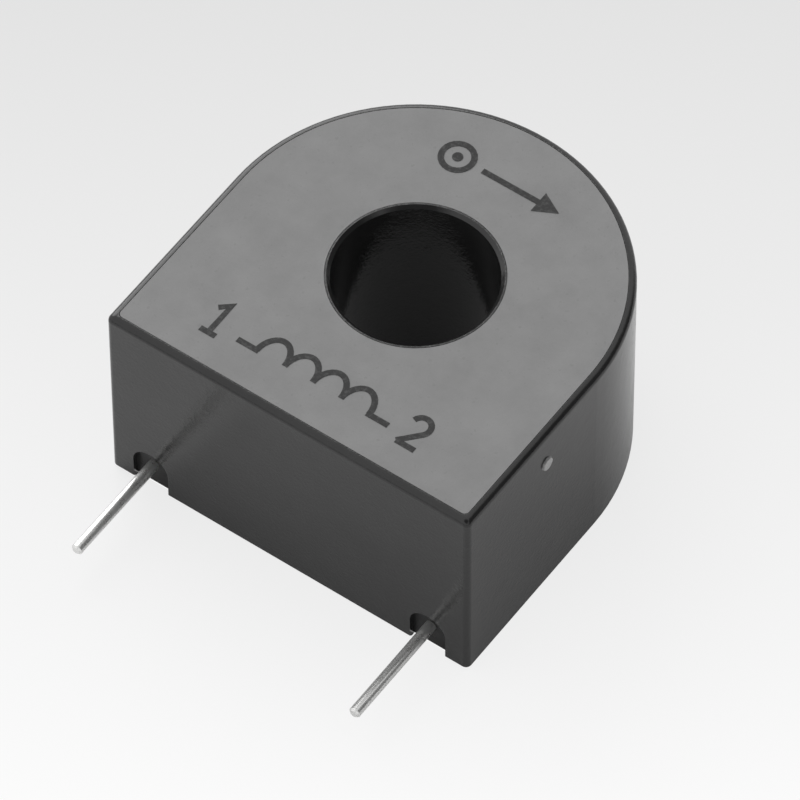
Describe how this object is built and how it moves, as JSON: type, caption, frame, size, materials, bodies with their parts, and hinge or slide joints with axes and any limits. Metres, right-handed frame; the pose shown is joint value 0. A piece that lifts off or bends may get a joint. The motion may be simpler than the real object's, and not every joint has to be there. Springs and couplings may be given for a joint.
{
  "type": "current transformer",
  "caption": "Board-mounted current transformer: a D-shaped dark case with a grey face plate, a round through window for the conductor and round wire pins out of its flat side.",
  "frame": {"origin": "on the window's axis, in the plane of the case's open back, on which the part lies", "axes": "+Z along the window, from the open back towards the face plate; the pins point along -Y, out of the flat side; X runs across the width"},
  "size_m": [0.0246, 0.0314, 0.0138],
  "materials": {
    "case_plastic": "satin dark moulded plastic",
    "face_plate": "matt grey plastic plate",
    "core_strip": "edges of wound magnetic strip",
    "tray_plastic": "natural moulded plastic",
    "winding_wire": "enamelled copper wire",
    "tinned_pin": "tinned copper wire",
    "solder": "dull solder",
    "cast_filling": "cast dark resin"
  },
  "bodies": {
    "root": {"case": "case_plastic", "label_plate": "face_plate", "core": "core_strip", "core_tray": "tray_plastic", "core_tray_lid": "tray_plastic", "secondary_winding": "winding_wire", "lead_start": "winding_wire", "lead_finish": "winding_wire", "pin_left": "tinned_pin", "pin_right": "tinned_pin", "solder_left": "solder", "solder_right": "solder", "potting_compound": "cast_filling"}
  },
  "joints": []
}
